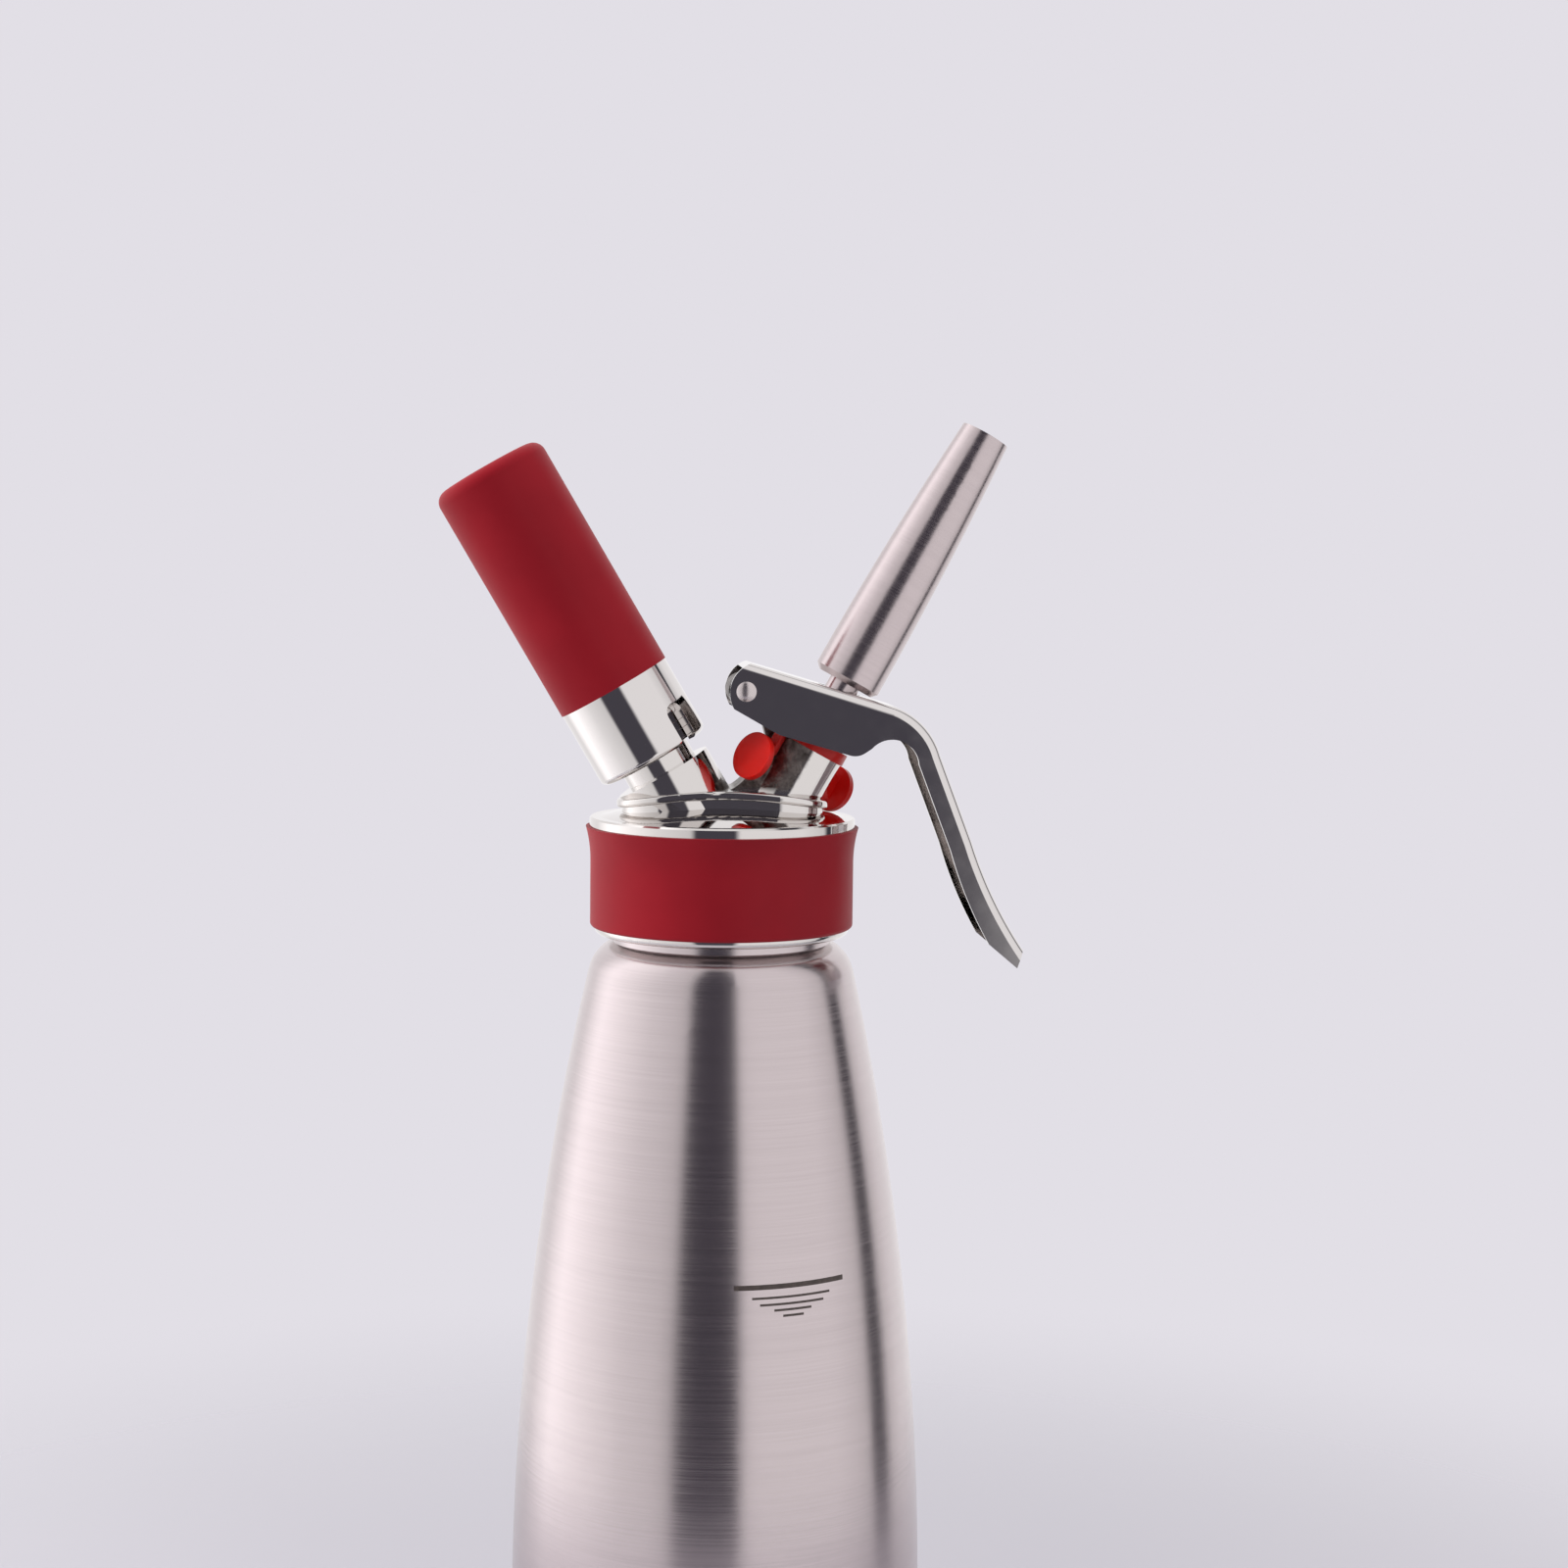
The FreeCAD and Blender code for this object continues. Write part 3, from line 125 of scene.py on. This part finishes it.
# The room by compass angle and brightness: 0 degrees is behind the camera, 90 the right and
# -90 the left. Pale walls go all round it, with a bright window on the left, the unlit side
# of the room behind the camera and the dark edge of a door on the right. The pale parts are
# near white and the dark ones a little violet.
brightest, dark_level, ceiling_level = 1.8, 0.2, 0.95
pale, dusk, ceiling_tint = (1.0, 0.985, 1.0), (0.92, 0.86, 1.08), (1.0, 0.99, 1.0)
wall, shaded_wall, window, unlit, door_edge = 1.0, 0.8, 1.7, 0.08, 0.06
room_sweep = ((-180, wall), (-140, wall), (-115, window), (-60, wall), (-30, shaded_wall),
              (-25, unlit), (8, unlit), (13, wall), (70, wall), (95, shaded_wall),
              (100, door_edge), (110, door_edge), (115, shaded_wall), (130, wall), (180, wall))


def room_light(level, tint):
    """A linear RGBA value for a place in the room, as a share of the brightest one."""
    return tuple(level / brightest * c for c in tint) + (1.0,)


world = bpy.data.worlds.new("studio")
world.use_nodes = True
scene.world = world
tree = world.node_tree
tree.nodes.clear()
output = tree.nodes.new("ShaderNodeOutputWorld")
sight = add(tree, "ShaderNodeTexCoord")
axis = add(tree, "ShaderNodeSeparateXYZ", Vector=sight.outputs["Generated"])
front = add(tree, "ShaderNodeMath", {"operation": "MULTIPLY"}, _0=axis.outputs["Y"], _1=-1.0)
compass = add(tree, "ShaderNodeMath", {"operation": "ARCTAN2"}, _0=axis.outputs["X"],
              _1=front.outputs[0])
around = add(tree, "ShaderNodeMapRange", Value=compass.outputs[0], From_Min=-math.pi,
             From_Max=math.pi)
walls = ramp(tree, around.outputs[0],
             [((angle + 180) / 360, room_light(level, pale if level > dark_level else dusk))
              for angle, level in room_sweep])
overhead = add(tree, "ShaderNodeMapRange", {"interpolation_type": "SMOOTHSTEP"},
               Value=axis.outputs["Z"], From_Min=0.90, From_Max=0.985)
ceiling = add(tree, "ShaderNodeMix", {"data_type": "RGBA"}, _0=overhead.outputs[0], _6=walls,
              _7=room_light(ceiling_level, ceiling_tint))
room = add(tree, "ShaderNodeBackground", Color=ceiling.outputs[2], Strength=brightest)
ambient = add(tree, "ShaderNodeBackground", Color=linear("#E8E6EC"), Strength=0.32)
backdrop = add(tree, "ShaderNodeBackground", Color=linear("#E2DFE6"), Strength=1.0)
path = add(tree, "ShaderNodeLightPath")
seen = add(tree, "ShaderNodeMath", {"operation": "MAXIMUM"}, _0=path.outputs["Is Camera Ray"],
           _1=path.outputs["Is Transmission Ray"])
mirrored = add(tree, "ShaderNodeMixShader", _0=path.outputs["Is Glossy Ray"],
               _1=ambient.outputs[0], _2=room.outputs[0])
whole = add(tree, "ShaderNodeMixShader", _0=seen.outputs[0], _1=mirrored.outputs[0],
            _2=backdrop.outputs[0])
tree.links.new(whole.outputs[0], output.inputs[0])


def soft_box(name, place, aim_height, size, power):
    """A rectangular lamp that faces the dispenser's axis and lights matt surfaces only."""
    lamp = bpy.data.lights.new(name, "AREA")
    lamp.shape = "RECTANGLE"
    lamp.size, lamp.size_y = size
    lamp.energy = power
    item = new_object(name, lamp)
    item.location = place
    aim = Vector((0, 0, aim_height)) - Vector(place)
    item.rotation_euler = aim.to_track_quat("-Z", "Y").to_euler()
    item.visible_glossy = False


soft_box("left_window", (-1.00, -0.14, 0.42), 0.20, (0.6, 0.9), 8.0)
soft_box("right_wall", (0.90, -0.35, 0.42), 0.20, (0.5, 0.9), 1.6)
soft_box("ceiling_light", (-0.10, -0.05, 1.20), 0.20, (0.9, 0.7), 6.0)
soft_box("front_fill", (0.60, -1.10, 0.40), 0.22, (0.5, 0.9), 2.4)

# Camera
# A 61 mm lens, 62 cm away and at the head's height, turned slightly to the right, pitched
# down and rolled by under a degree. Its focal length is in pixels of the square picture.
picture_side, focal_pixels, sensor = 1600, 2725, 36
camera_place = (-0.03116, -0.61938, 0.30866)
roll, pitch, turn = math.radians(0.65), math.radians(4.7), math.radians(4.2)
look = Vector((0, math.cos(pitch), -math.sin(pitch)))
level_up = Vector((0, math.sin(pitch), math.cos(pitch)))
level_right = Vector((1, 0, 0))
right = level_right * math.cos(roll) + level_up * math.sin(roll)
up = level_up * math.cos(roll) - level_right * math.sin(roll)
swing = Matrix.Rotation(-turn, 3, "Z")
lens = bpy.data.cameras.new("camera")
lens.sensor_width = sensor
lens.lens = focal_pixels / picture_side * sensor
camera = new_object("camera", lens)
axes = Matrix((swing @ right, swing @ up, -(swing @ look))).transposed()
camera.matrix_world = Matrix.Translation(camera_place) @ axes.to_4x4()
scene.camera = camera


def dress(node, material):
    """Gives a CAD solid its finish."""
    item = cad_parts[node]
    for slot in item.material_slots:
        slot.material = material


def cloudy(tree, scale, detail=4.0, stretch=(1, 1, 1), turn=(0, 0, 0)):
    """Noise on the object's own coordinates, turned first and then stretched, per metre."""
    place = add(tree, "ShaderNodeTexCoord")
    turned_to = add(tree, "ShaderNodeMapping", Vector=place.outputs["Object"], Rotation=turn)
    spread = add(tree, "ShaderNodeVectorMath", {"operation": "MULTIPLY"},
                 _0=turned_to.outputs[0], _1=stretch)
    return add(tree, "ShaderNodeTexNoise", Vector=spread.outputs[0], Scale=scale, Detail=detail)


# Bottle
# Deep-drawn 18/8 stainless steel, 1.1 mm thick, spun to its taper and brushed round its
# axis with a fine belt. The eye sees tall soft bands of light with a faint level grain in
# them. Real scratches are some hundredths of a millimetre apart, and these a quarter of a
# millimetre, so that they show.


def brushed_steel(name, shade, turn=(0, 0, 0), rough=(0.17, 0.24), depth=0.10):
    """Stainless steel brushed round an axis that turn brings upright."""
    material, tree, output = new_material(name)
    fine = cloudy(tree, 1.0, 3.0, (30, 30, 4200), turn)
    broad = cloudy(tree, 1.0, 2.0, (12, 12, 620), turn)
    level = add(tree, "ShaderNodeMapRange", Value=fine.outputs["Fac"], From_Min=0.3,
                From_Max=0.7, To_Min=rough[0], To_Max=rough[1])
    base = linear(shade)
    grain = add(tree, "ShaderNodeMath", {"operation": "MULTIPLY_ADD"}, _0=broad.outputs["Fac"],
                _1=0.6, _2=0.2)
    both = add(tree, "ShaderNodeMix", _0=0.5, _2=grain.outputs[0], _3=fine.outputs["Fac"])
    shades = ramp(tree, both.outputs[0], ((0.33, tuple(c * 0.93 for c in base[:3]) + (1.0,)),
                                          (0.67, tuple(c * 1.03 for c in base[:3]) + (1.0,))))
    bump = add(tree, "ShaderNodeBump", Strength=depth, Distance=0.00002,
               Height=fine.outputs["Fac"])
    steel = add(tree, "ShaderNodeBsdfPrincipled", Base_Color=shades, Metallic=1.0,
                Roughness=level.outputs[0], Normal=bump.outputs[0])
    tree.links.new(steel.outputs[0], output.inputs[0])
    return material


dress("bottle", brushed_steel("brushed_stainless_steel", "#CBC0C1"))

# The fill line: one broad bar and four thin ones below it, printed on the brushed steel
# in dark brown ink with a pad. The ink stands three hundredths of a millimetre proud.
ink_thickness, print_angle, print_step = 0.00003, math.radians(20), 0.0012
ink, tree, output = new_material("pad_printed_ink")
blotch = cloudy(tree, 900.0, 5.0)
tone = ramp(tree, blotch.outputs["Fac"], ((0.3, linear("#3E3532")), (0.7, linear("#554A46"))))
print_ink = add(tree, "ShaderNodeBsdfPrincipled", Base_Color=tone, Roughness=0.55)
tree.links.new(print_ink.outputs[0], output.inputs[0])


def bottle_radius(z):
    """The bottle's outside radius in metres at a height on its taper."""
    widest, low, high, narrow = 0.0483, 0.060, 0.2143, 0.0309
    taper = ((high - low) ** 2 + (widest - narrow) ** 2) / (2 * (widest - narrow))
    return widest - taper + math.sqrt(taper ** 2 - (z - low) ** 2)


# Each bar has its height on the bottle, its thickness and its length.
bars = ((0.1494, 0.0011, 0.0270), (0.1470, 0.0005, 0.0190), (0.1455, 0.0005, 0.0155),
        (0.1442, 0.0005, 0.0090), (0.1429, 0.0005, 0.0050))
fill_line = bmesh.new()
for centre, thick, long in bars:
    steps = max(4, round(long / print_step))
    rows = []
    for z in (centre - thick / 2, centre + thick / 2):
        radius = bottle_radius(z) + ink_thickness
        row = []
        for step in range(steps + 1):
            angle = print_angle + (step / steps - 0.5) * long / radius
            corner = (radius * math.sin(angle), -radius * math.cos(angle), z)
            row.append(fill_line.verts.new(corner))
        rows.append(row)
    lower, upper = rows
    for step in range(steps):
        fill_line.faces.new((lower[step], lower[step + 1], upper[step + 1], upper[step]))
mesh = bpy.data.meshes.new("fill_line")
fill_line.to_mesh(mesh)
fill_line.free()
mesh.materials.append(ink)
piece = new_object("fill_line", mesh)
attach(piece, "bottle")

# Threads
# Rolled ridges on the bottle's neck, and finer cut ridges on the charger arm's collar and
# the adaptor's spigot. Each is wound in a helix and half sunk in the steel that carries it.


def helix_group():
    """Node group that winds a round wire in a right-handed helix on its own Z axis."""
    group = bpy.data.node_groups.new("wound_wire", "GeometryNodeTree")
    for name in ("Radius", "Pitch", "Turns", "Wire"):
        group.interface.new_socket(name, in_out="INPUT", socket_type="NodeSocketFloat")
    group.interface.new_socket("Material", in_out="INPUT", socket_type="NodeSocketMaterial")
    group.interface.new_socket("Geometry", in_out="OUTPUT", socket_type="NodeSocketGeometry")
    given = group.nodes.new("NodeGroupInput").outputs
    height = add(group, "ShaderNodeMath", {"operation": "MULTIPLY"}, _0=given["Pitch"],
                 _1=given["Turns"])
    helix = add(group, "GeometryNodeCurveSpiral", Resolution=48, Rotations=given["Turns"],
                Start_Radius=given["Radius"], End_Radius=given["Radius"],
                Height=height.outputs[0])
    wire = add(group, "GeometryNodeCurvePrimitiveCircle", Resolution=8, Radius=given["Wire"])
    tube = add(group, "GeometryNodeCurveToMesh", Curve=helix.outputs[0],
               Profile_Curve=wire.outputs[0], Fill_Caps=True)
    smooth = add(group, "GeometryNodeSetShadeSmooth", Geometry=tube.outputs[0])
    whole = add(group, "GeometryNodeRealizeInstances", Geometry=smooth.outputs[0])
    painted = add(group, "GeometryNodeSetMaterial", Geometry=whole.outputs[0],
                  Material=given["Material"])
    out = group.nodes.new("NodeGroupOutput")
    group.links.new(painted.outputs[0], out.inputs[0])
    return group


wire_group = helix_group()


def wind(name, body, slot, foot, tilt, **sizes):
    """Winds one helix from its foot up its tilted axis; sizes are the group's inputs."""
    piece = new_object(name, bpy.data.meshes.new(name + "_blank"))
    winder = piece.modifiers.new("wind", "NODES")
    winder.node_group = wire_group
    for item in wire_group.interface.items_tree:
        if item.in_out == "INPUT":
            winder[item.identifier] = sizes[item.name]
    evaluated = piece.evaluated_get(bpy.context.evaluated_depsgraph_get())
    mesh = bpy.data.meshes.new_from_object(evaluated)
    piece.modifiers.clear()
    mesh.transform(Matrix.Translation(foot) @ Matrix.Rotation(tilt, 4, "Y"))
    mesh.name = name
    piece.data = mesh
    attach(piece, body)
    return piece


# Both arms' axes are in the plane of the picture and are measured from the rim's height.
rim_height = 0.250
valve_foot, valve_tilt = 0.0109, math.radians(29.0)
charger_foot, charger_tilt = -0.00786, math.radians(-30.5)


def up_arm(foot, tilt, distance):
    """A point on a tilted arm's axis, a distance up it from the rim's height."""
    return Vector((foot + math.sin(tilt) * distance, 0, rim_height + math.cos(tilt) * distance))


thread_steel = brushed_steel("rolled_thread_steel", "#C6BCBB")
wind("neck_thread", "bottle", "bottle_steel", Vector((0, 0, 0.2235)), 0.0,
     Radius=0.0254, Pitch=0.004, Turns=4.4, Wire=0.00022, Material=thread_steel)
wind("collar_thread", "head", "head_metal", up_arm(charger_foot, charger_tilt, 0.0168),
     charger_tilt, Radius=0.0107, Pitch=0.002, Turns=3.7, Wire=0.00008, Material=thread_steel)
wind("spigot_thread", "piston", "machined_steel", up_arm(valve_foot, valve_tilt, 0.0362),
     valve_tilt, Radius=0.0056, Pitch=0.0015, Turns=6.0, Wire=0.00008, Material=thread_steel)

# Head
# One stainless steel casting, tumbled and then mirror polished wherever a wheel reaches.
# The web left of the valve boss keeps its cast skin, dull and pitted at two thirds of a
# millimetre and darkened with painted shade, beside a mirror with the slow waves that a
# hand-held wheel leaves.
# Three edges bound the web: a line beside the valve's axis, given by its slope and by the x
# where it meets z = 0, the dome below it, and an upright line on its left. Each edge is a
# short blend between two values.
web_side, web_foot, web_left = (-0.1268, -0.1256), (0.2560, 0.2575), (-0.0015, 0.0005)
web_slope, ragged_by = 0.5543, 0.002


def polished_metal(name, shade, cast_and_shade=None):
    """Mirror-polished metal with faint wheel marks, and dull, pitted cast skin darkened with
    painted shade where cast_and_shade says.
    """
    material, tree, output = new_material(name)
    marks = cloudy(tree, 260.0, 6.0)
    level = add(tree, "ShaderNodeMapRange", Value=marks.outputs["Fac"], From_Min=0.35,
                From_Max=0.65, To_Min=0.03, To_Max=0.08)
    wave = cloudy(tree, 70.0, 2.0)
    swell = add(tree, "ShaderNodeBump", Strength=0.10, Distance=0.0002,
                Height=wave.outputs["Fac"])
    metal = add(tree, "ShaderNodeBsdfPrincipled", Base_Color=linear(shade), Metallic=1.0,
                Roughness=level.outputs[0], Normal=swell.outputs[0])
    shader = metal.outputs[0]
    if cast_and_shade is not None:
        grain = cloudy(tree, 1500.0, 6.0)
        pits = add(tree, "ShaderNodeBump", Strength=0.9, Distance=0.0003,
                   Height=grain.outputs["Fac"])
        blotch = cloudy(tree, 420.0, 4.0)
        # The cast skin's dark colours are painted shade on the web beside the boss.
        scale = ramp(tree, blotch.outputs["Fac"], ((0.35, linear("#4A4340")),
                                                   (0.65, linear("#837B77"))))
        skin = add(tree, "ShaderNodeBsdfPrincipled", Base_Color=scale, Metallic=1.0,
                   Roughness=0.42, Normal=pits.outputs[0])
        shader = add(tree, "ShaderNodeMixShader", _0=cast_and_shade(tree), _1=shader,
                     _2=skin.outputs[0]).outputs[0]
    tree.links.new(shader, output.inputs[0])
    return material


def cast_skin_and_shade_mask(tree):
    """1 where the web left of the valve boss has its cast skin and painted shade, and 0
    elsewhere, with a ragged edge.
    """
    place = add(tree, "ShaderNodeTexCoord")
    axis = add(tree, "ShaderNodeSeparateXYZ", Vector=place.outputs["Object"])
    ragged = cloudy(tree, 700.0, 4.0)
    slant = add(tree, "ShaderNodeMath", {"operation": "MULTIPLY_ADD"}, _0=axis.outputs["Z"],
                _1=-web_slope, _2=axis.outputs["X"])
    jitter = add(tree, "ShaderNodeMath", {"operation": "MULTIPLY_ADD"},
                 _0=ragged.outputs["Fac"], _1=ragged_by, _2=slant.outputs[0])
    left = add(tree, "ShaderNodeMapRange", {"clamp": True}, Value=jitter.outputs[0],
               From_Min=web_side[0], From_Max=web_side[1], To_Min=1.0, To_Max=0.0)
    above = add(tree, "ShaderNodeMapRange", {"clamp": True}, Value=axis.outputs["Z"],
                From_Min=web_foot[0], From_Max=web_foot[1], To_Min=0.0, To_Max=1.0)
    right_of = add(tree, "ShaderNodeMapRange", {"clamp": True}, Value=axis.outputs["X"],
                   From_Min=web_left[0], From_Max=web_left[1], To_Min=0.0, To_Max=1.0)
    both = add(tree, "ShaderNodeMath", {"operation": "MULTIPLY"}, _0=left.outputs[0],
               _1=above.outputs[0])
    return add(tree, "ShaderNodeMath", {"operation": "MULTIPLY"}, _0=both.outputs[0],
               _1=right_of.outputs[0]).outputs[0]


dress("head", polished_metal("polished_cast_steel", "#D8D4D1", cast_skin_and_shade_mask))

# Grip band and holder grip
# Crimson silicone rubber, compression moulded in a lightly blasted mould. The skin is matt
# with a grain of 0.15 mm, almost without a highlight, and a little paler where it catches
# dust and the light grazes it.


def silicone(name, shade, dark):
    """Moulded silicone: near-even colour, blasted grain, faint bloom."""
    material, tree, output = new_material(name)
    tint = cloudy(tree, 60.0, 3.0)
    tone = ramp(tree, tint.outputs["Fac"], ((0.3, linear(dark)), (0.7, linear(shade))))
    grain = cloudy(tree, 6500.0, 2.0)
    skin = add(tree, "ShaderNodeBump", Strength=0.25, Distance=0.00004,
               Height=grain.outputs["Fac"])
    rubber = add(tree, "ShaderNodeBsdfPrincipled", Base_Color=tone, Roughness=0.5, IOR=1.41,
                 Normal=skin.outputs[0], Specular_IOR_Level=0.25)
    tree.links.new(rubber.outputs[0], output.inputs[0])
    return material


crimson = silicone("crimson_silicone", "#9C1A26", "#911723")
dress("grip_band", crimson)
dress("holder_grip", crimson)

# Gasket and seals
# The gasket is soft red silicone; the small seals are black nitrile rubber.
dress("head_gasket", silicone("red_gasket_silicone", "#B5302E", "#A82A28"))
nitrile = silicone("black_nitrile_rubber", "#26262A", "#1D1D20")
for node in ("charger_washer", "check_valve_sleeve", "piston_seal", "piston_ring", "tip_seal"):
    dress(node, nitrile)

# Charger holder
# A drawn stainless tube, turned inside for the thread and mirror polished outside.
mirror = polished_metal("polished_stainless_steel", "#DAD6D4")
dress("holder_sleeve", mirror)

# Gas charger, check valve and piercing pin
# The charger is drawn mild steel with a thin bright zinc plating. The check valve is turned
# brass and the needle turned stainless steel, both with close rings round their axis.
plated, tree, output = new_material("zinc_plated_steel")
spangle = cloudy(tree, 350.0, 4.0)
tone = ramp(tree, spangle.outputs["Fac"], ((0.3, linear("#A9ABB0")), (0.7, linear("#C8CACE"))))
zinc = add(tree, "ShaderNodeBsdfPrincipled", Base_Color=tone, Metallic=1.0, Roughness=0.28)
tree.links.new(zinc.outputs[0], output.inputs[0])
dress("charger", plated)

brass, tree, output = new_material("turned_brass")
rings = cloudy(tree, 1.0, 3.0, (40, 40, 2200), (0, -charger_tilt, 0))
level = add(tree, "ShaderNodeMapRange", Value=rings.outputs["Fac"], From_Min=0.3, From_Max=0.7,
            To_Min=0.18, To_Max=0.32)
turned_brass = add(tree, "ShaderNodeBsdfPrincipled", Base_Color=linear("#C9A45C"), Metallic=1.0,
                   Roughness=level.outputs[0])
tree.links.new(turned_brass.outputs[0], output.inputs[0])
dress("check_valve", brass)

dress("piercing_pin", brushed_steel("turned_needle_steel", "#C4BFBA", (0, -charger_tilt, 0)))

# Valve piston, adaptor and nozzle
# Turned from stainless bar and finished with fine paper on the lathe, which leaves a satin
# skin with close rings round the valve's axis.
turned = brushed_steel("turned_stainless_steel", "#C8BCBD", (0, -valve_tilt, 0), (0.19, 0.27),
                       0.2)
for node in ("piston", "tip_adaptor", "nozzle"):
    dress(node, turned)

# Return spring
# Hard drawn spring wire wound in six turns. It stands in the boss, between the chamber's
# floor and the piston's collar.
spring_low, spring_rise, spring_turns, piston_travel = 0.01005, 0.0174, 6, 0.00276
spring_foot = up_arm(valve_foot, valve_tilt, spring_low)
spring = wind("return_spring_wire", "head", "spring_steel", spring_foot, valve_tilt,
              Radius=0.00445, Pitch=spring_rise / spring_turns, Turns=spring_turns, Wire=0.0005,
              Material=polished_metal("drawn_spring_wire", "#B9B5B2"))
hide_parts("return_spring")
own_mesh(spring)

# Lever
# Pressed from 1.5 mm stainless sheet into a channel and mirror polished. Its pin is turned
# and tumbled, so the domed heads have a soft sheen.
dress("lever", mirror)
dress("lever_pin", brushed_steel("tumbled_steel", "#CFC6C6", (math.radians(90), 0, 0),
                                 (0.24, 0.32), 0.1))

# Valve clip
# Signal red polypropylene, injection moulded: clear bright colour with little highlight,
# slightly darker along the flow lines. Light passes some millimetres into it, so its shaded
# side stays red.
plastic, tree, output = new_material("red_polypropylene")
flow = cloudy(tree, 120.0, 2.0)
tone = ramp(tree, flow.outputs["Fac"], ((0.3, linear("#CF1B17")), (0.7, linear("#DD241D"))))
moulded = add(tree, "ShaderNodeBsdfPrincipled", Base_Color=tone, Roughness=0.35, IOR=1.49,
              Specular_IOR_Level=0.3, Subsurface_Weight=0.8,
              Subsurface_Radius=(0.006, 0.0008, 0.0006), Subsurface_Scale=1.0)
tree.links.new(moulded.outputs[0], output.inputs[0])
dress("valve_clip", plastic)
